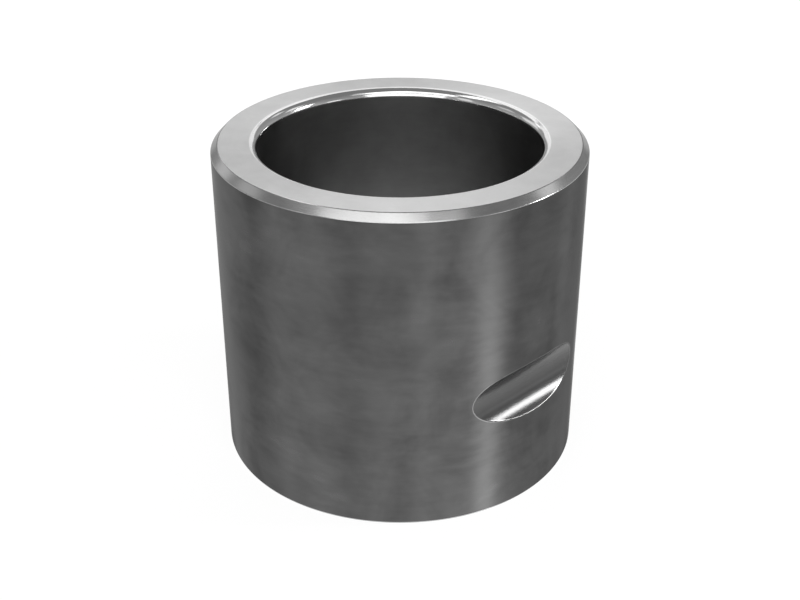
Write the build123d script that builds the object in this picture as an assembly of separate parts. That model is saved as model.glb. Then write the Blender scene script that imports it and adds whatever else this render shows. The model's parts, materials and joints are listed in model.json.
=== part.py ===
from build123d import *

import os

# The tool bushing is the thick turned ring that guides the working tool of a hydraulic
# breaker. It is one piece of steel. +Z runs up along the bore, the origin is the centre of
# the foot, and the lock-pin groove faces +X, so that the lock pin lies along Y.

# Driving dimensions, in millimetres.
tool_diameter = 120.0  # the working tool that slides in the bore
tool_clearance = 0.5  # on the diameter, when the bushing is new
outer_diameter = 160.0  # seat in the front head
height = 143.0
rim_chamfer = 3.0  # 45 degree lead-in on the outer top edge
rim_round = 0.8  # radius on both edges of that chamfer
mouth_radius = 4.0  # rounded lip at the top of the bore
foot_round = 1.0  # radius on both edges of the foot
pin_diameter = 30.0  # the lock pin that lies in the groove and fills its curve
groove_depth = 6.5  # deepest cut into the wall, halfway along the groove
groove_height = 54.5  # middle of the groove above the foot
groove_round = 0.6  # radius on the groove's edge

bore_radius = (tool_diameter + tool_clearance) / 2
outer_radius = outer_diameter / 2
wall = outer_radius - bore_radius
groove_radius = pin_diameter / 2
# The pin's centre line passes this far from the bushing's own axis.
pin_offset = outer_radius - groove_depth + groove_radius

# The section is drawn at the back, so that the turned faces close opposite the groove.
section_plane = Plane(origin=(0, 0, 0), x_dir=(-1, 0, 0), z_dir=(0, 1, 0))


def draw_section():
    """Half of the lengthwise section: X is the distance from the axis, Y the height."""
    with BuildSketch(section_plane) as section:
        with Locations((bore_radius, 0)):
            Rectangle(wall, height, align=Align.MIN)
        foot_corners = section.vertices().group_by(Axis.Y)[0]
        fillet(foot_corners, foot_round)
        mouth_corner = section.vertices().group_by(Axis.Y)[-1].sort_by(Axis.X)[0]
        fillet(mouth_corner, mouth_radius)
        rim_corner = section.vertices().group_by(Axis.Y)[-1].sort_by(Axis.X)[-1]
        chamfer(rim_corner, rim_chamfer)
        chamfer_top = section.vertices().group_by(Axis.Y)[-1].sort_by(Axis.X)[-1]
        chamfer_low = section.vertices().group_by(Axis.X)[-1].sort_by(Axis.Y)[-1]
        fillet([chamfer_top, chamfer_low], rim_round)
    return section.sketch


def make_bushing():
    """The turned ring with the lock-pin groove milled straight across one side."""
    groove_line = Location((pin_offset, 0, groove_height), (90, 0, 0))
    with BuildPart() as bushing:
        add(draw_section())
        revolve(axis=Axis.Z)
        with Locations(groove_line):
            Cylinder(groove_radius, outer_diameter, mode=Mode.SUBTRACT)
        groove_edges = bushing.edges(Select.LAST)
        fillet(groove_edges, groove_round)
    return bushing.part


os.makedirs("parts", exist_ok=True)
export_step(make_bushing(), "parts/tool_bushing.step")
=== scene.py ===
import json
from math import atan2, cos, exp, pi, radians, sin
from typing import NamedTuple

import bpy
from bpy.props import FloatProperty, FloatVectorProperty, IntProperty, PointerProperty
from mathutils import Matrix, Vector


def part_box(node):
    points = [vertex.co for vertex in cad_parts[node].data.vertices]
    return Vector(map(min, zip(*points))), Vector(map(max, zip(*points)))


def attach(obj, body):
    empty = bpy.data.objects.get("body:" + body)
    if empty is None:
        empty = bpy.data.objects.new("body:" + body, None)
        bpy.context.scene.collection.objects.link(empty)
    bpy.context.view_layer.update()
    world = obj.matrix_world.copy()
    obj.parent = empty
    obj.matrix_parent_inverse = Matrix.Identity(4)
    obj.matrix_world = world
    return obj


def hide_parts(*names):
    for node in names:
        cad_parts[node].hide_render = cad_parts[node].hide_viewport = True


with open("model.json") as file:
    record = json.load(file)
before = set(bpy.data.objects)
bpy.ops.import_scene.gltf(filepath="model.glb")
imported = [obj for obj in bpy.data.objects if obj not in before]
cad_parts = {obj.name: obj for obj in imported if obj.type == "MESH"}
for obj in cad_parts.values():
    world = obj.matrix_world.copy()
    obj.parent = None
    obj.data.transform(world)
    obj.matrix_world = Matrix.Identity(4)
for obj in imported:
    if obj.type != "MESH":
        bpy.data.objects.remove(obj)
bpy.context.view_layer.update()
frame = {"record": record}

bl_info = {
    "name": "Tool Bushing",
    "version": (1, 0, 0),
    "blender": (4, 5, 0),
    "location": "View3D > Sidebar > Tool Bushing",
    "description": "A turned steel tool bushing with a lock-pin groove, and a studio for it",
    "category": "Add Mesh",
}

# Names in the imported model.
NODE = "tool_bushing"
BODY = "root"

MM = 0.001

# Points nearer to each other than this are one point.
SAME_POINT = 0.01 * MM


def mount(name):
    """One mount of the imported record."""
    return next(m for m in frame["record"]["mounts"] if m["name"] == name)


OUTER_RADIUS = mount("outer_seat")["dims"]["r_mm"] * MM
BORE_RADIUS = mount("tool_bore")["dims"]["r_mm"] * MM
PIN_OFFSET, _, GROOVE_HEIGHT = mount("lock_pin_groove")["pos_m"]
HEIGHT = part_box(NODE)[1].z


# The settings that a user would change.


def size(name, default, description):
    """A length in metres."""
    return FloatProperty(
        name=name, description=description, default=default, min=0.0, precision=5, unit="LENGTH"
    )


def colour(name, grey, description):
    """A neutral colour."""
    return FloatVectorProperty(
        name=name, description=description, default=(grey,) * 3, subtype="COLOR", min=0.0, max=1.0
    )


def angle(name, degrees, description):
    """An angle, which Blender keeps in radians."""
    return FloatProperty(
        name=name, description=description, default=radians(degrees), subtype="ANGLE"
    )


def count(name, default, description):
    """A whole number of at least four."""
    return IntProperty(name=name, description=description, default=default, min=4)


class BushingSizes(bpy.types.PropertyGroup):
    """The turned ring, its lock-pin groove and how finely both are divided."""

    outer_radius: size("Outer Radius", OUTER_RADIUS, "Radius of the outer wall")
    bore_radius: size("Bore Radius", BORE_RADIUS, "Radius of the tool's bore")
    height: size("Height", HEIGHT, "From the foot to the top face")
    rim_chamfer: size("Rim Chamfer", 3.0 * MM, "Each leg of the chamfer on the outer top edge")
    rim_round: size("Rim Round", 0.8 * MM, "Radius on both edges of the chamfer")
    mouth_radius: size("Mouth Radius", 4.0 * MM, "Radius of the lip at the top of the bore")
    foot_round: size("Foot Round", 1.0 * MM, "Radius on both edges of the foot")
    pin_radius: size("Pin Radius", 15.0 * MM, "Radius of the lock pin, which the groove fits")
    pin_offset: size("Pin Offset", PIN_OFFSET, "From the bore's axis to the pin's centre line")
    groove_height: size("Groove Height", GROOVE_HEIGHT, "From the foot to the pin's centre line")
    groove_round: size("Groove Round", 0.6 * MM, "Radius on the groove's edge")
    patch_height: size("Patch Height", 18.0 * MM, "Half the height of the fine patch of faces")
    patch_angle: angle("Patch Angle", 30.0, "Half the width of the fine patch of faces")
    patch_steps: count("Patch Steps", 96, "Rows and columns of faces in the fine patch")
    turn_steps: count("Turn Steps", 200, "Columns of faces round the rest of the ring")
    row_height: size("Row Height", 5.0 * MM, "The most that a row of faces is high elsewhere")


class SteelFinish(bpy.types.PropertyGroup):
    """The colours of the machined faces."""

    wall: colour("Wall", 0.087, "Hardened outer wall")
    chamfer: colour("Chamfer", 0.50, "Turned chamfer and rounded edges")
    end_face: colour("End Face", 0.65, "Ground top face and foot")
    lip: colour("Lip", 0.70, "Polished lip at the top of the bore")
    bore: colour("Bore", 0.325, "Honed bore")
    groove: colour("Groove", 0.10, "Milled lock-pin groove")
    # The groove edge's lighter colour is the rounded edge's finish, and partly a painted highlight
    # line.
    groove_edge: colour("Groove Edge", 0.15, "Rounded edge of the groove")


class StudioSettings(bpy.types.PropertyGroup):
    """The camera of the studio."""

    azimuth: angle("Azimuth", 45.0, "Camera's turn about the bushing, from the front")
    elevation: angle("Elevation", 28.569, "Camera's height above the horizon")
    distance: size("Distance", 0.577, "From the camera to the point that it looks at")
    target_height: size("Target Height", 0.06406, "Height of the point that it looks at")
    lens: FloatProperty(
        name="Lens", description="Focal length in millimetres", default=57.257, min=1.0
    )


# Node trees, written as sums.


class Wire:
    """A node's output, with which a sum in Python makes the Math nodes of its tree."""

    def __init__(self, tree, socket):
        self.tree = tree
        self.socket = socket

    def __add__(self, other):
        return calculate("ADD", self, other)

    def __radd__(self, other):
        return calculate("ADD", other, self)

    def __sub__(self, other):
        return calculate("SUBTRACT", self, other)

    def __rsub__(self, other):
        return calculate("SUBTRACT", other, self)

    def __mul__(self, other):
        return calculate("MULTIPLY", self, other)

    def __rmul__(self, other):
        return calculate("MULTIPLY", other, self)

    def __truediv__(self, other):
        return calculate("DIVIDE", self, other)

    def __gt__(self, other):
        return calculate("GREATER_THAN", self, other)

    def __lt__(self, other):
        return calculate("LESS_THAN", self, other)


def put(value, socket):
    """Gives an input a wire or a plain value."""
    if isinstance(value, Wire):
        value.tree.links.new(value.socket, socket)
    else:
        socket.default_value = value


def add_node(tree, kind, inputs=None, **settings):
    """A node with its settings and inputs, which are given by name or by number."""
    node = tree.nodes.new(kind)
    for name, value in settings.items():
        setattr(node, name, value)
    for key, value in (inputs or {}).items():
        put(value, node.inputs[key])
    return node


def wire(tree, kind, output, inputs=None, **settings):
    """The named output of a new node."""
    return Wire(tree, add_node(tree, kind, inputs, **settings).outputs[output])


def calculate(operation, *values):
    """A Math node on wires and numbers."""
    tree = next(value.tree for value in values if isinstance(value, Wire))
    return wire(tree, "ShaderNodeMath", 0, dict(enumerate(values)), operation=operation)


def root(value):
    """The square root, or 0 below 0."""
    return calculate("SQRT", calculate("MAXIMUM", value, 0.0))


def blend(share, start, end):
    """From start at a share of 0 to end at a share of 1."""
    return start + share * (end - start)


def split(vector):
    """The three parts of a vector."""
    node = add_node(vector.tree, "ShaderNodeSeparateXYZ", {0: vector})
    return [Wire(vector.tree, output) for output in node.outputs]


def join(x, y, z):
    """A vector from its three parts, of which one at least is a wire."""
    tree = next(value.tree for value in (x, y, z) if isinstance(value, Wire))
    return wire(tree, "ShaderNodeCombineXYZ", 0, {0: x, 1: y, 2: z})


def make_group(name, kind, inputs, outputs):
    """A node group with its sockets, each given as a name and a type."""
    tree = bpy.data.node_groups.new(name, kind)
    for title, socket_type in inputs:
        tree.interface.new_socket(title, in_out="INPUT", socket_type=socket_type)
    for title, socket_type in outputs:
        tree.interface.new_socket(title, in_out="OUTPUT", socket_type=socket_type)
    return tree


# The ring, as a tree of geometry nodes.


def choose(chosen, plain, changed):
    """The changed value where chosen is not 0."""
    values = {0: chosen, 1: plain, 2: changed}
    return wire(chosen.tree, "GeometryNodeSwitch", 0, values, input_type="FLOAT")


def whole(value):
    """The nearest whole number."""
    return wire(value.tree, "FunctionNodeFloatToInt", 0, {0: value}, rounding_mode="ROUND")


def pick(index, values, kind):
    """The value that stands at an index of a list."""
    node = index.tree.nodes.new("GeometryNodeIndexSwitch")
    node.data_type = kind
    while len(node.index_switch_items) < len(values):
        node.index_switch_items.new()
    put(index, node.inputs[0])
    for place, value in enumerate(values):
        put(value, node.inputs[1 + place])
    return Wire(index.tree, node.outputs[0])


def add_section(tree, given):
    """The closed lengthwise section, with X as the distance from the axis."""
    outer, bore, height = given["Outer Radius"], given["Bore Radius"], given["Height"]
    chamfer, rim = given["Rim Chamfer"], given["Rim Round"]
    foot, mouth = given["Foot Round"], given["Mouth Radius"]
    middle, reach = given["Groove Height"], given["Patch Height"]
    corners = [
        (bore, 0.0, foot),
        (outer, 0.0, foot),
        (outer, middle - reach, 0.0),
        (outer, middle + reach, 0.0),
        (outer, height - chamfer, rim),
        (outer - chamfer, height, rim),
        (bore, height, mouth),
    ]
    steps_per_round = 12
    number = wire(tree, "GeometryNodeInputIndex", 0)
    places = [join(x, 0.0, z) for x, z, _ in corners]
    radii = [radius for _, _, radius in corners]
    point = {"Count": len(corners), "Position": pick(number, places, "VECTOR")}
    points = wire(tree, "GeometryNodePoints", 0, point)
    curve = wire(tree, "GeometryNodePointsToCurves", 0, {0: points})
    curve = wire(tree, "GeometryNodeSetSplineCyclic", 0, {"Geometry": curve, "Cyclic": True})
    rounded = {"Curve": curve, "Radius": pick(number, radii, "FLOAT")}
    rounded["Count"] = steps_per_round
    curve = wire(tree, "GeometryNodeFilletCurve", 0, rounded, mode="POLY")
    here = wire(tree, "GeometryNodeInputPosition", 0)
    points_in_all = wire(
        tree, "GeometryNodeAttributeDomainSize", "Point Count", {0: curve}, component="CURVE"
    )
    after = calculate("MODULO", number + 1, points_in_all)
    there = wire(
        tree, "GeometryNodeFieldAtIndex", 0, {"Index": after, "Value": here},
        data_type="FLOAT_VECTOR", domain="POINT",
    )
    run = wire(tree, "ShaderNodeVectorMath", "Value", {0: here, 1: there}, operation="DISTANCE")

    # The patch's own stretch starts at its foot, on the outer wall, and is a long one.
    x, _, z = split(here)
    shortest = 1.0 * MM
    at_patch_foot = calculate("ABSOLUTE", z - middle + reach) < SAME_POINT
    in_patch = (x > outer - shortest) * at_patch_foot * (run > shortest)
    rows = calculate("CEIL", run / given["Row Height"])
    steps = choose(in_patch, rows, given["Patch Steps"])
    return wire(tree, "GeometryNodeSubdivideCurve", 0, {0: curve, 1: whole(steps - 1.0)})


def add_groove(given, turn, height):
    """New distances, turns and heights for the patch, and how far each point is from the edge."""
    radius, offset = given["Pin Radius"], given["Pin Offset"]
    outer, middle = given["Outer Radius"], given["Groove Height"]
    patch_turn, patch_height = given["Patch Angle"], given["Patch Height"]
    share_inside = 0.7  # of the patch's rings, those that lie in the groove
    crowding = 0.22  # spacing of the rings at the groove's edge, where an even one is 1
    cut_to_softness = 6.0  # a smooth minimum cuts a sixth of its softness off a corner

    # Place in the patch: a square ring, from 0 at the middle to 1 at the border.
    across = turn / patch_turn
    up = (height - middle) / patch_height
    ring = calculate("MAXIMUM", calculate("ABSOLUTE", across), calculate("ABSOLUTE", up))
    around = calculate("ARCTAN2", up, across)

    # The edge of the groove, where the pin's surface leaves the wall.
    half_width = root(radius * radius - (offset - outer) * (offset - outer))
    edge_up = half_width * calculate("SINE", around)
    edge_cosine = (offset - root(radius * radius - edge_up * edge_up)) / outer
    edge_turn = calculate("ARCCOSINE", calculate("MINIMUM", edge_cosine, 1.0))
    edge_turn = edge_turn * calculate("SIGN", calculate("COSINE", around))

    # Inside, the rings shrink from the edge to a point. Outside, they grow into the border.
    step_in = 1.0 - ring / share_inside
    shrink = 1.0 - step_in * (crowding + step_in * (1.0 - crowding))
    step_out = (ring - share_inside) / (1.0 - share_inside)
    grow = step_out * (crowding + step_out * (1.0 - crowding))
    inside = ring < share_inside
    safe_ring = calculate("MAXIMUM", ring, share_inside)
    border_turn = across / safe_ring * patch_turn
    border_up = up / safe_ring * patch_height
    new_turn = choose(inside, blend(grow, edge_turn, border_turn), shrink * edge_turn)
    new_up = choose(inside, blend(grow, edge_up, border_up), shrink * edge_up)

    # The pin's surface as a distance from the bore's axis, joined to the wall by a round.
    cosine = calculate("COSINE", new_turn)
    depth = (offset - root(radius * radius - new_up * new_up)) / cosine
    bend_cosine = (offset - outer * cosine) * cosine / radius
    half_bend_cosine = root((1.0 + bend_cosine) * 0.5)
    softness = cut_to_softness * given["Groove Round"] * (1.0 - half_bend_cosine)
    softness = softness / (half_bend_cosine * half_bend_cosine)
    distance = calculate("SMOOTH_MIN", outer, depth, softness)
    from_edge = calculate("ABSOLUTE", (outer - depth) / softness)
    return distance, new_turn, middle + new_up, from_edge


def make_ring_tree(finishes):
    """The tree that turns the section into the ring, cuts the groove and gives the finishes."""
    properties = BushingSizes.bl_rna.properties
    own = [properties[name] for name in BushingSizes.__annotations__]
    kinds = {"FLOAT": "NodeSocketFloat", "INT": "NodeSocketInt"}
    inputs = [(item.name, kinds[item.type]) for item in own]
    tree = make_group(
        "Turned Ring", "GeometryNodeTree", inputs, [("Geometry", "NodeSocketGeometry")]
    )
    group_input = tree.nodes.new("NodeGroupInput")
    given = {title: Wire(tree, group_input.outputs[title]) for title, _ in inputs}

    section = add_section(tree, given)
    rows = wire(
        tree, "GeometryNodeAttributeDomainSize", "Point Count", {0: section}, component="CURVE"
    )
    fine = given["Patch Steps"]
    columns = fine + given["Turn Steps"]

    # A flat sheet of faces, of which each point knows its column and its row.
    grid = {0: columns, 1: rows, 2: whole(columns + 1.0), 3: whole(rows + 1.0)}
    sheet = wire(tree, "GeometryNodeMeshGrid", "Mesh", grid)
    x, y, _ = split(wire(tree, "GeometryNodeInputPosition", 0))
    column = whole(x + columns * 0.5)
    row = whole(y + rows * 0.5)

    # The column gives the turn about the axis, and the row a point of the section.
    patch_turn = given["Patch Angle"]
    turn = choose(
        column > fine,
        patch_turn * (2.0 * column / fine - 1.0),
        patch_turn + (2.0 * pi - 2.0 * patch_turn) * (column - fine) / given["Turn Steps"],
    )
    place_in_section = whole(calculate("MODULO", row, rows))
    here = wire(tree, "GeometryNodeInputPosition", 0)
    section_point = wire(
        tree, "GeometryNodeSampleIndex", 0,
        {"Geometry": section, "Value": here, "Index": place_in_section},
        data_type="FLOAT_VECTOR", domain="POINT",
    )
    run = wire(tree, "GeometryNodeSplineParameter", "Factor")
    section_run = wire(
        tree, "GeometryNodeSampleIndex", 0,
        {"Geometry": section, "Value": run, "Index": place_in_section},
        data_type="FLOAT", domain="POINT",
    )

    # The map for baked finishes runs round the ring one way and along the section the other.
    section_run = choose(row > rows - 0.5, section_run, 1.0)
    map_place = join(column / columns, section_run, 0.0)
    sheet = wire(
        tree, "GeometryNodeStoreNamedAttribute", 0,
        {"Geometry": sheet, "Name": "OFBake", "Value": map_place},
        data_type="FLOAT2", domain="CORNER",
    )
    sheet = wire(
        tree, "GeometryNodeStoreNamedAttribute", 0,
        {"Geometry": sheet, "Name": "section", "Value": section_point},
        data_type="FLOAT_VECTOR", domain="POINT",
    )

    # Points within the patch's border move to the groove. The border itself stays.
    radius, _, level = split(section_point)
    distance, groove_turn, groove_level, from_edge = add_groove(given, turn, level)
    almost = 0.9999
    on_wall = radius > given["Outer Radius"] - SAME_POINT
    in_patch = (calculate("ABSOLUTE", turn) < patch_turn * almost) * on_wall
    above = level - given["Groove Height"]
    in_patch = in_patch * (calculate("ABSOLUTE", above) < given["Patch Height"] * almost)
    far_from_edge = 9.0
    from_edge = choose(in_patch, far_from_edge, from_edge)
    sheet = wire(
        tree, "GeometryNodeStoreNamedAttribute", 0,
        {"Geometry": sheet, "Name": "from_edge", "Value": from_edge},
        data_type="FLOAT", domain="POINT",
    )
    radius = choose(in_patch, radius, distance)
    turn = choose(in_patch, turn, groove_turn)
    level = choose(in_patch, level, groove_level)
    place = join(
        radius * calculate("COSINE", turn), radius * calculate("SINE", turn), level
    )
    ring = wire(tree, "GeometryNodeSetPosition", 0, {"Geometry": sheet, "Position": place})
    ring = wire(tree, "GeometryNodeMergeByDistance", 0, {"Geometry": ring, "Distance": SAME_POINT})
    ring = wire(tree, "GeometryNodeRealizeInstances", 0, {"Geometry": smooth_by_area(ring)})
    ring = give_finishes(ring, given, finishes)
    group_output = tree.nodes.new("NodeGroupOutput")
    put(ring, group_output.inputs[0])
    return tree


def smooth_by_area(ring):
    """Gives normals weighted by area, which keep the flat faces flat beside the rounds."""
    tree = ring.tree
    normal = wire(tree, "GeometryNodeInputNormal", 0)
    area = wire(tree, "GeometryNodeInputMeshFaceArea", 0)
    weighted = wire(
        tree, "ShaderNodeVectorMath", 0, {"Vector": normal, "Scale": area}, operation="SCALE"
    )
    on_face = wire(
        tree, "GeometryNodeFieldOnDomain", 0, {0: weighted}, data_type="FLOAT_VECTOR", domain="FACE"
    )
    custom = wire(tree, "ShaderNodeVectorMath", 0, {0: on_face}, operation="NORMALIZE")
    ring = wire(tree, "GeometryNodeSetShadeSmooth", 0, {"Geometry": ring})
    return wire(
        tree, "GeometryNodeSetMeshNormal", 0, {"Mesh": ring, "Custom Normal": custom},
        mode="FREE", domain="POINT",
    )


def give_finishes(ring, given, finishes):
    """Gives each finish to the faces that its tool cut, where a later one replaces an earlier."""
    tree = ring.tree
    outer, bore, height = given["Outer Radius"], given["Bore Radius"], given["Height"]
    drawn = wire(
        tree, "GeometryNodeInputNamedAttribute", 0, {"Name": "section"}, data_type="FLOAT_VECTOR"
    )
    drawn_radius, _, drawn_level = split(drawn)
    now_x, now_y, _ = split(wire(tree, "GeometryNodeInputPosition", 0))
    now_radius = root(now_x * now_x + now_y * now_y)
    hair = 0.02 * MM  # a face this near to a surface is on it
    lip_end = 0.16 * MM  # this near to the top face, the lip is ground with it
    # Past the round, the lighter edge colour reaches onto the wall as a painted highlight line.
    edge_reach = 1.2  # the groove's round ends at 1
    on_wall = drawn_radius > outer - hair
    in_mouth = drawn_radius < bore + given["Mouth Radius"]
    from_edge = wire(
        tree, "GeometryNodeInputNamedAttribute", 0, {"Name": "from_edge"}, data_type="FLOAT"
    )
    zones = [
        ("chamfer", None),
        ("lip", in_mouth * (drawn_level > height * 0.5)),
        ("wall", on_wall),
        ("bore", drawn_radius < bore + hair),
        ("end_face", (drawn_level > height - hair) + (drawn_level < hair)),
        ("end_face", in_mouth * (drawn_level > height - lip_end)),
        ("groove", on_wall * (now_radius < outer - hair)),
        ("groove_edge", on_wall * (from_edge < edge_reach)),
    ]
    for finish, zone in zones:
        inputs = {"Geometry": ring, "Material": finishes[finish]}
        if zone:
            inputs["Selection"] = zone
        ring = wire(tree, "GeometryNodeSetMaterial", 0, inputs)
    return ring


# The finishes.

# Painted sheen: the end faces are a little lighter at three places round the axis. The first is at
# this turn about the axis. One side has painted light too, at this turn from the first place.
SHEEN_LOBES = 3
SHEEN_LOBE_TURN = radians(-45.0)
SHEEN_SIDE_TURN = radians(100.0)

# A painted highlight, a bright ring of colour, lies where the lip runs out into the end face.
PAINTED_HIGHLIGHT_PLACE = 0.8  # from the bore, as a share of the lip's radius
PAINTED_HIGHLIGHT_HALF_WIDTH = 0.15 * MM  # this near to its middle, it has its full brightness
PAINTED_HIGHLIGHT_FADE = 0.4 * MM  # this far from its middle, none is left

# Marks and smudges are noise about this value.
NOISE_MIDDLE = 0.5


class Finish(NamedTuple):
    """How one kind of face is marked and how it mirrors. Shades are shares of its colour."""

    material: str
    rings_follow: str = "height"  # what changes from ring to ring: the height or the radius
    ring_pitch: float = 0.5 * MM
    streak_length: float = 12.0 * MM
    smudge_size: float = 18.0 * MM
    ring_shade: float = 0.1
    smudge_shade: float = 0.3
    # painted sheen on the end faces, at three places and on one side
    jaw_shade: float = 0.0
    # painted highlight ring beside the lip
    bright_ring_shade: float = 0.0
    roughness: float = 0.2
    ring_roughness: float = 0.04
    smudge_roughness: float = 0.1
    ring_depth: float = 0.001 * MM
    wave_depth: float = 0.01 * MM
    grazing_tint: float = 0.5
    brushed: float = 0.0
    metallic: float = 1.0


FINISHES = {
    "wall": Finish(
        "hardened_wall", ring_pitch=1.2 * MM, streak_length=8.0 * MM, smudge_size=30.0 * MM,
        ring_shade=0.04, smudge_shade=1.35, roughness=0.22, smudge_roughness=0.35,
        ring_depth=0.0004 * MM, wave_depth=0.03 * MM,
    ),
    "chamfer": Finish("turned_chamfer"),
    "end_face": Finish(
        "ground_end_face", rings_follow="radius", ring_pitch=1.4 * MM, streak_length=14.0 * MM,
        smudge_size=16.0 * MM, ring_shade=0.05, smudge_shade=0.35, jaw_shade=0.08,
        bright_ring_shade=0.32, roughness=0.40, smudge_roughness=0.08, ring_depth=0.0002 * MM,
        grazing_tint=0.6, brushed=0.3,
    ),
    "lip": Finish("polished_lip", roughness=0.12, smudge_roughness=0.06, grazing_tint=0.7),
    "bore": Finish(
        "honed_bore", ring_pitch=0.6 * MM, smudge_size=20.0 * MM, smudge_shade=0.5,
        roughness=0.30, wave_depth=0.02 * MM,
    ),
    "groove": Finish(
        "milled_groove", ring_pitch=3.2 * MM, streak_length=120.0 * MM, smudge_size=12.0 * MM,
        ring_shade=0.35, smudge_shade=0.2, roughness=0.22, ring_depth=0.0, grazing_tint=0.7,
        metallic=0.6,
    ),
    # the rounded edge's finish, and partly a painted highlight line along the groove's edge
    "groove_edge": Finish("rounded_groove_edge"),
}


def make_marks_group():
    """Fine rings left by a cutting tool, in long uneven streaks."""
    inputs = [("Vector", "NodeSocketVector"), ("Across", "NodeSocketFloat")]
    inputs += [("Pitch", "NodeSocketFloat"), ("Length", "NodeSocketFloat")]
    tree = make_group("Turning Marks", "ShaderNodeTree", inputs, [("Mark", "NodeSocketFloat")])
    source = tree.nodes.new("NodeGroupInput")
    vector, across, pitch, streak = [Wire(tree, output) for output in source.outputs[:4]]
    x, y, _ = split(vector)
    place = join(x / streak, y / streak, across / pitch)
    noise = {"Vector": place, "Scale": 1.0, "Detail": 3.0, "Roughness": 0.6}
    mark = wire(tree, "ShaderNodeTexNoise", 0, noise)
    put(mark, tree.nodes.new("NodeGroupOutput").inputs[0])
    return tree


def make_smudge_group():
    """Clouds of oil and handling, with wiped streaks that run round the bushing."""
    inputs = [("Vector", "NodeSocketVector"), ("Size", "NodeSocketFloat")]
    tree = make_group("Handling Smudges", "ShaderNodeTree", inputs, [("Smudge", "NodeSocketFloat")])
    source = tree.nodes.new("NodeGroupInput")
    vector, blotch = [Wire(tree, output) for output in source.outputs[:2]]
    x, y, z = split(vector)
    cloud = {"Vector": join(x / blotch, y / blotch, z / blotch), "Scale": 1.0, "Detail": 3.5}
    cloud["Roughness"] = 0.68
    cloud["Distortion"] = 0.4
    clouds = wire(tree, "ShaderNodeTexNoise", 0, cloud)

    # A streak is long along the wall and thin up it.
    streaks_along = 2.0
    streaks_up = 9.0
    place = join(
        streaks_along * x / blotch, streaks_along * y / blotch, streaks_up * z / blotch
    )
    streak = {"Vector": place, "Scale": 1.0, "Detail": 2.0, "Roughness": 0.6}
    streaks = wire(tree, "ShaderNodeTexNoise", 0, streak)
    streak_share = 0.22
    smudge = blend(streak_share, clouds, streaks)
    put(smudge, tree.nodes.new("NodeGroupOutput").inputs[0])
    return tree


def use_group(tree, group, output, inputs):
    """The output of a node group placed in a material."""
    node = tree.nodes.new("ShaderNodeGroup")
    node.node_tree = group
    for name, value in inputs.items():
        put(value, node.inputs[name])
    return Wire(tree, node.outputs[output])


def make_steel(finish, tone, groups, painted_highlight_radius):
    """The material of a machined steel face."""
    material = bpy.data.materials.new(finish.material)
    material.use_nodes = True
    tree = material.node_tree
    shader = tree.nodes["Principled BSDF"]
    here = wire(tree, "ShaderNodeTexCoord", "Object")
    x, y, z = split(here)
    radius = root(x * x + y * y)

    across = {"height": z, "radius": radius}[finish.rings_follow]
    marks = {"Vector": here, "Across": across, "Pitch": finish.ring_pitch}
    marks["Length"] = finish.streak_length
    mark = use_group(tree, groups["marks"], "Mark", marks) - NOISE_MIDDLE
    smudges = {"Vector": here, "Size": finish.smudge_size}
    smudge = use_group(tree, groups["smudges"], "Smudge", smudges) - NOISE_MIDDLE

    shade = 1.0 + mark * finish.ring_shade + smudge * finish.smudge_shade
    # The painted highlight: a bright ring of colour beside the lip.
    if finish.bright_ring_shade:
        away = calculate("ABSOLUTE", radius - painted_highlight_radius)
        fade = {"Value": away, "From Min": PAINTED_HIGHLIGHT_HALF_WIDTH, "From Max": PAINTED_HIGHLIGHT_FADE}
        fade["To Min"] = 1.0
        fade["To Max"] = 0.0
        shade = shade + finish.bright_ring_shade * wire(tree, "ShaderNodeMapRange", 0, fade)
    # Painted sheen: lighter at three places round the axis, and on one side.
    if finish.jaw_shade:
        turn = calculate("ARCTAN2", y, x) - SHEEN_LOBE_TURN
        shade = shade + finish.jaw_shade * calculate("COSINE", SHEEN_LOBES * turn)
        shade = shade + finish.jaw_shade * calculate("COSINE", turn - SHEEN_SIDE_TURN)
    colour_now = wire(
        tree, "ShaderNodeVectorMath", 0, {0: tuple(tone), "Scale": shade}, operation="SCALE"
    )
    rough = finish.roughness + smudge * finish.smudge_roughness + mark * finish.ring_roughness
    raised = mark * finish.ring_depth + smudge * finish.wave_depth
    relief = {"Strength": 1.0, "Distance": 1.0, "Height": raised}
    put(colour_now, shader.inputs["Base Color"])
    put(rough, shader.inputs["Roughness"])
    put(wire(tree, "ShaderNodeBump", 0, relief), shader.inputs["Normal"])
    shader.inputs["Metallic"].default_value = finish.metallic
    shader.inputs["Specular Tint"].default_value = (finish.grazing_tint,) * 3 + (1.0,)
    if finish.brushed:
        tangent = wire(tree, "ShaderNodeTangent", 0, direction_type="RADIAL", axis="Z")
        put(tangent, shader.inputs["Tangent"])
        shader.inputs["Anisotropic"].default_value = finish.brushed
        shader.inputs["Anisotropic Rotation"].default_value = 0.25  # a quarter turn
    return material


def make_finishes(tones, sizes):
    """Every finish of the ring, by the name of its zone."""
    painted_highlight_radius = sizes.bore_radius + PAINTED_HIGHLIGHT_PLACE * sizes.mouth_radius
    groups = {"marks": make_marks_group(), "smudges": make_smudge_group()}
    return {
        zone: make_steel(finish, getattr(tones, zone), groups, painted_highlight_radius)
        for zone, finish in FINISHES.items()
    }


# The studio. In its lists angles are in degrees, and azimuths are counted from the camera's own.

LAMP_DISTANCE = 1.2
LAMP_TARGET = Vector((0.0, 0.0, 0.08))


class Softbox(NamedTuple):
    """A soft lamp. The weak ones do the work of lit cards."""

    name: str
    azimuth: float
    elevation: float  # above the horizon
    width: float
    height: float
    brightness: float  # where 1 is white


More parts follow.
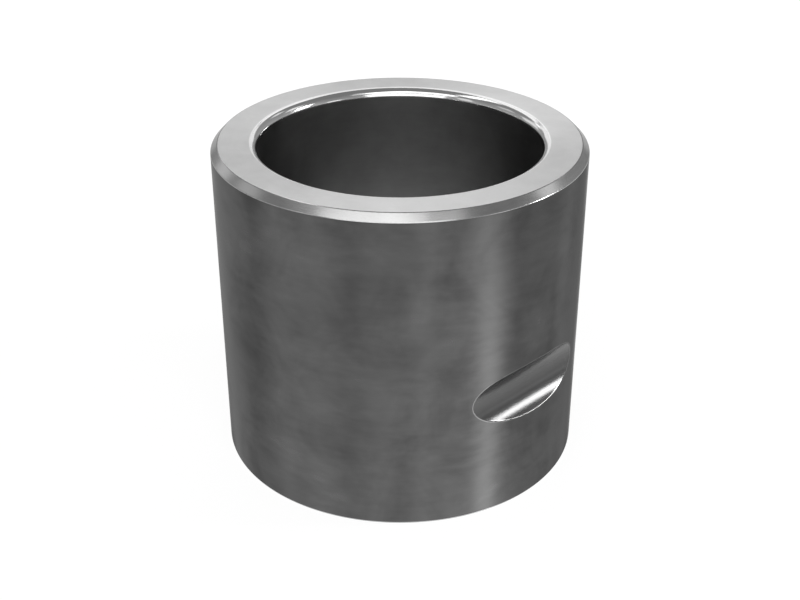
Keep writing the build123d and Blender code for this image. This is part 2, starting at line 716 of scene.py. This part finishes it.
SOFTBOXES = (
    Softbox("front_softbox", -12.5, 54.0, 1.32, 0.46, 1.75),
    Softbox("front_high_card", 3.0, 60.0, 0.36, 0.36, 0.35),
    Softbox("front_fill", 36.0, 52.0, 0.36, 0.40, 0.56),
    Softbox("low_softbox", -5.0, 21.0, 1.50, 0.74, 1.35),
    Softbox("low_right_card", 57.0, 9.0, 0.26, 0.24, 1.0),
    Softbox("right_softbox", 89.5, 20.0, 0.24, 0.25, 21.5),
    Softbox("right_fill", 108.0, 36.0, 0.30, 0.25, 0.83),
    Softbox("right_back_card", 138.0, 38.0, 0.26, 0.14, 0.72),
    Softbox("left_fill", -134.0, 20.0, 0.48, 0.30, 0.61),
    Softbox("left_side_card", -105.0, 32.0, 0.34, 0.20, 0.39),
    Softbox("left_high_card", -106.0, 60.0, 0.75, 0.22, 1.8),
    Softbox("left_back_card", -153.0, 27.0, 0.22, 0.14, 1.22),
    Softbox("low_left_card", -58.0, 24.0, 0.26, 0.46, 0.6),
    Softbox("back_softbox", -174.0, 46.0, 0.85, 0.56, 1.05),
    Softbox("back_low_card", -178.0, 22.5, 0.72, 0.36, 0.86),
)


class Streak(NamedTuple):
    """A soft band that a card on the floor makes in the wall, as the camera sees it."""

    azimuth: float  # of the wall
    half_width: float  # round the wall
    foot: float  # light added at the foot, or below 0 the share that a grey card takes away
    far: float  # the same at the card's far end
    half_way: float = 0.0  # light added to the mean of the two, half way out


STREAKS = (
    Streak(-84.0, 6.0, -0.40, -0.40),
    Streak(-74.0, 5.0, -0.60, -0.30),
    Streak(-60.0, 7.0, 0.44, 0.48),
    Streak(-46.0, 4.0, 0.10, -0.28),
    Streak(-36.0, 4.5, 0.26, 0.19),
    Streak(-24.0, 6.0, 0.30, 0.24),
    Streak(-13.0, 4.0, 0.0, -0.20),
    Streak(-5.0, 6.0, 0.36, 0.15),
    Streak(0.0, 60.0, 0.07, 0.0),
    Streak(7.0, 4.0, 0.44, 0.44),
    Streak(14.0, 5.0, 0.26, 0.0),
    Streak(17.0, 4.0, 0.26, 0.0),
    Streak(23.5, 4.5, 0.45, 0.75),
    Streak(27.2, 4.1, 1.50, 0.28, half_way=0.96),
    Streak(35.0, 4.0, 0.18, -0.30),
    Streak(44.0, 8.0, 0.18, -0.10),
    Streak(57.0, 4.5, 0.26, 0.52),
    Streak(72.0, 5.0, -0.60, -0.50),
    Streak(84.0, 6.0, -0.45, -0.45),
)

# The cards follow the wall as far round as the camera sees it, and a little further. The runs are
# the distances out from the wall at which they have their corners. Past CARD_REACH the light
# stays as it is.
CARD_AZIMUTHS = range(-88, 89)
CARD_RUNS = (0.0, 0.03, 0.07, 0.125, 0.19, 0.25, 0.5)
CARD_REACH = 0.25
CARD_HEIGHT = 0.5 * MM


def direction(azimuth, elevation):
    """The way from the bushing to a place in the studio."""
    level = cos(elevation)
    return Vector((sin(azimuth) * level, -cos(azimuth) * level, sin(elevation)))


def aim(thing, target):
    """Turns a camera or a lamp to face a point."""
    thing.rotation_mode = "QUATERNION"
    thing.rotation_quaternion = (target - thing.location).to_track_quat("-Z", "Y")


def add_softbox(context, softbox):
    """An area lamp, placed round the bushing."""
    lamp = bpy.data.lights.new(softbox.name, "AREA")
    lamp.shape = "RECTANGLE"
    lamp.size = softbox.width
    lamp.size_y = softbox.height
    lamp.energy = softbox.brightness * pi * softbox.width * softbox.height
    box = bpy.data.objects.new(softbox.name, lamp)
    context.collection.objects.link(box)
    azimuth = context.scene.bushing_studio.azimuth + radians(softbox.azimuth)
    box.location = LAMP_TARGET + LAMP_DISTANCE * direction(azimuth, radians(softbox.elevation))
    aim(box, LAMP_TARGET)
    box.visible_camera = False


def seen_or_mirrored(tree):
    """1 for camera, glossy and transmission rays, otherwise 0."""
    path = add_node(tree, "ShaderNodeLightPath")
    kinds = ("Is Camera Ray", "Is Glossy Ray", "Is Transmission Ray")
    camera, glossy, transmission = [Wire(tree, path.outputs[kind]) for kind in kinds]
    return calculate("MAXIMUM", calculate("MAXIMUM", camera, glossy), transmission)


def add_stage_piece(context, name, corners, faces):
    """A flat piece of the studio, and its empty material."""
    mesh = bpy.data.meshes.new(name)
    mesh.from_pydata(corners, [], faces)
    material = bpy.data.materials.new(name)
    material.use_nodes = True
    material.node_tree.nodes.clear()
    mesh.materials.append(material)
    piece = bpy.data.objects.new(name, mesh)
    context.collection.objects.link(piece)
    return piece, material.node_tree


def add_floor(context):
    """A wide pale floor that is white to the eye and in the steel, and still takes a shadow."""
    half = 20.0
    corners = [(-half, -half, 0), (half, -half, 0), (half, half, 0), (-half, half, 0)]
    _, tree = add_stage_piece(context, "studio_floor", corners, [(0, 1, 2, 3)])
    x, y, _ = split(wire(tree, "ShaderNodeTexCoord", "Object"))

    # To the eye and in the steel the floor glows, but for a matt fifth beside the bushing, which
    # takes the shadow. To all other light it is matt.
    spread = {"Value": root(x * x + y * y), "From Min": 0.25, "From Max": 0.80}
    spread["To Min"] = 0.80
    spread["To Max"] = 1.0
    share = wire(tree, "ShaderNodeMapRange", 0, spread)
    white = 1.14  # a little over 1, so that the matt fifth doesn't grey the floor
    matt = add_node(tree, "ShaderNodeBsdfDiffuse", {"Color": (0.8, 0.8, 0.8, 1.0)})
    glow = add_node(tree, "ShaderNodeEmission", {"Strength": white})
    shaders = {1: Wire(tree, matt.outputs[0]), 2: Wire(tree, glow.outputs[0])}
    mixed = add_node(tree, "ShaderNodeMixShader", {0: seen_or_mirrored(tree) * share, **shaders})
    add_node(tree, "ShaderNodeOutputMaterial", {0: Wire(tree, mixed.outputs[0])})


def streak_light(streak, azimuth, run):
    """The light of one streak, at an azimuth of the wall and a distance out along the floor."""
    share = min(run / CARD_REACH, 1.0)
    light = streak.foot + share * (streak.far - streak.foot)
    light += streak.half_way * (1.0 - abs(2.0 * share - 1.0))
    return light * exp(-(((azimuth - streak.azimuth) / streak.half_width) ** 2))


def add_floor_cards(context):
    """White and grey cards on the floor, along the lines that the wall mirrors to the camera."""
    settings = context.scene.bushing_studio
    radius = context.scene.bushing_sizes.outer_radius
    camera_reach = settings.distance * cos(settings.elevation)
    corners = []
    lights = []
    for azimuth in CARD_AZIMUTHS:
        turn = radians(azimuth)
        start = radius * direction(settings.azimuth + turn, 0.0)
        sight = atan2(-radius * sin(turn), camera_reach - radius * cos(turn))
        ahead = direction(settings.azimuth + 2.0 * turn - sight, 0.0)
        for run in CARD_RUNS:
            corners.append(start + run * ahead + Vector((0.0, 0.0, CARD_HEIGHT)))
            lights.append(sum(streak_light(streak, azimuth, run) for streak in STREAKS))
    across = len(CARD_RUNS)
    faces = []
    for column in range(len(CARD_AZIMUTHS) - 1):
        for row in range(across - 1):
            first = column * across + row
            faces.append((first, first + 1, first + across + 1, first + across))
    sheet, tree = add_stage_piece(context, "floor_cards", corners, faces)
    sheet.data.attributes.new("light", "FLOAT", "POINT").data.foreach_set("value", lights)

    # What the card adds is its own glow, and what it takes away darkens the floor seen through it.
    light = wire(tree, "ShaderNodeAttribute", "Fac", attribute_name="light")
    left = calculate("MINIMUM", 1.0 + light, 1.0)
    added = calculate("MAXIMUM", light, 0.0)
    clear = add_node(tree, "ShaderNodeBsdfTransparent", {"Color": left})
    glow = add_node(tree, "ShaderNodeEmission", {"Strength": added})
    shaders = {0: Wire(tree, clear.outputs[0]), 1: Wire(tree, glow.outputs[0])}
    total = add_node(tree, "ShaderNodeAddShader", shaders)
    add_node(tree, "ShaderNodeOutputMaterial", {0: Wire(tree, total.outputs[0])})
    sheet.visible_camera = False
    sheet.visible_shadow = False
    sheet.visible_diffuse = False


def add_world(context):
    """White all round for the eye, and in the steel a grey room that is darker overhead."""
    world = bpy.data.worlds.new("studio_world")
    context.scene.world = world
    world.use_nodes = True
    tree = world.node_tree
    up = split(wire(tree, "ShaderNodeTexCoord", "Generated"))[2]
    path = add_node(tree, "ShaderNodeLightPath")
    seen = Wire(tree, path.outputs["Is Camera Ray"])
    room = {"Value": up, "From Min": 0.0, "From Max": 0.75, "To Min": 0.47, "To Max": 0.25}
    mirrored = wire(tree, "ShaderNodeMapRange", 0, room)
    white = 1.0
    room_light = 0.15  # on matt surfaces, beside the lamps
    around = blend(seen_or_mirrored(tree), room_light, blend(seen, mirrored, white))
    background = tree.nodes["Background"]
    put(around, background.inputs["Strength"])
    background.inputs["Color"].default_value = (1.0, 1.0, 1.0, 1.0)


# The operators.


class MakeTurnedRing(bpy.types.Operator):
    """Make the steel ring with its chamfer, rounded lip and lock-pin groove"""

    bl_idname = "tool_bushing.turned_ring"
    bl_label = "Turned Ring"
    bl_options = {"REGISTER", "UNDO"}

    def execute(self, context):
        sizes = context.scene.bushing_sizes
        tree = make_ring_tree(make_finishes(context.scene.steel_finish, sizes))
        carrier = bpy.data.objects.new("ring_tree", bpy.data.meshes.new("ring_tree"))
        context.collection.objects.link(carrier)
        modifier = carrier.modifiers.new("Turned Ring", "NODES")
        modifier.node_group = tree
        for name in BushingSizes.__annotations__:
            title = sizes.bl_rna.properties[name].name
            modifier[tree.interface.items_tree[title].identifier] = getattr(sizes, name)
        evaluated = carrier.evaluated_get(context.evaluated_depsgraph_get())
        mesh = bpy.data.meshes.new_from_object(evaluated)
        if not mesh.polygons:
            raise RuntimeError("the tree of the turned ring made no faces")
        bpy.data.objects.remove(carrier)
        mesh.materials.pop(index=0)  # the grid's own empty slot
        mesh.name = "turned_ring"
        ring = bpy.data.objects.new("turned_ring", mesh)
        context.collection.objects.link(ring)
        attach(ring, BODY)
        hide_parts(NODE)
        return {"FINISHED"}


class MakeStudio(bpy.types.Operator):
    """Make the floor, the soft light and the camera"""

    bl_idname = "tool_bushing.studio"
    bl_label = "Studio"
    bl_options = {"REGISTER", "UNDO"}

    def execute(self, context):
        settings = context.scene.bushing_studio
        camera_data = bpy.data.cameras.new("studio_camera")
        camera_data.lens = settings.lens
        camera = bpy.data.objects.new("studio_camera", camera_data)
        context.collection.objects.link(camera)
        target = Vector((0.0, 0.0, settings.target_height))
        way = direction(settings.azimuth, settings.elevation)
        camera.location = target + settings.distance * way
        aim(camera, target)
        context.scene.camera = camera

        add_floor(context)
        add_world(context)
        add_floor_cards(context)
        for softbox in SOFTBOXES:
            add_softbox(context, softbox)
        context.scene.view_settings.view_transform = "Standard"
        return {"FINISHED"}


class BushingPanel(bpy.types.Panel):
    """The settings and the operators, in the sidebar"""

    bl_idname = "VIEW3D_PT_tool_bushing"
    bl_label = "Tool Bushing"
    bl_space_type = "VIEW_3D"
    bl_region_type = "UI"
    bl_category = "Tool Bushing"

    def draw(self, context):
        layout = self.layout
        groups = ("bushing_sizes", "steel_finish", "bushing_studio")
        for group in groups:
            settings = getattr(context.scene, group)
            column = layout.column(align=True)
            for name in type(settings).__annotations__:
                column.prop(settings, name)
        layout.operator(MakeTurnedRing.bl_idname)
        layout.operator(MakeStudio.bl_idname)


CLASSES = (
    BushingSizes, SteelFinish, StudioSettings, MakeTurnedRing, MakeStudio, BushingPanel,
)


def register():
    """Adds the classes and the scene's settings to Blender."""
    for cls in CLASSES:
        bpy.utils.register_class(cls)
    bpy.types.Scene.bushing_sizes = PointerProperty(type=BushingSizes)
    bpy.types.Scene.steel_finish = PointerProperty(type=SteelFinish)
    bpy.types.Scene.bushing_studio = PointerProperty(type=StudioSettings)


def unregister():
    """Takes them out again."""
    del bpy.types.Scene.bushing_studio
    del bpy.types.Scene.steel_finish
    del bpy.types.Scene.bushing_sizes
    for cls in reversed(CLASSES):
        bpy.utils.unregister_class(cls)


def main():
    """Makes the bushing and its studio."""
    register()
    bpy.ops.tool_bushing.turned_ring()
    bpy.ops.tool_bushing.studio()
    bpy.context.view_layer.update()


if __name__ == "__main__":
    main()
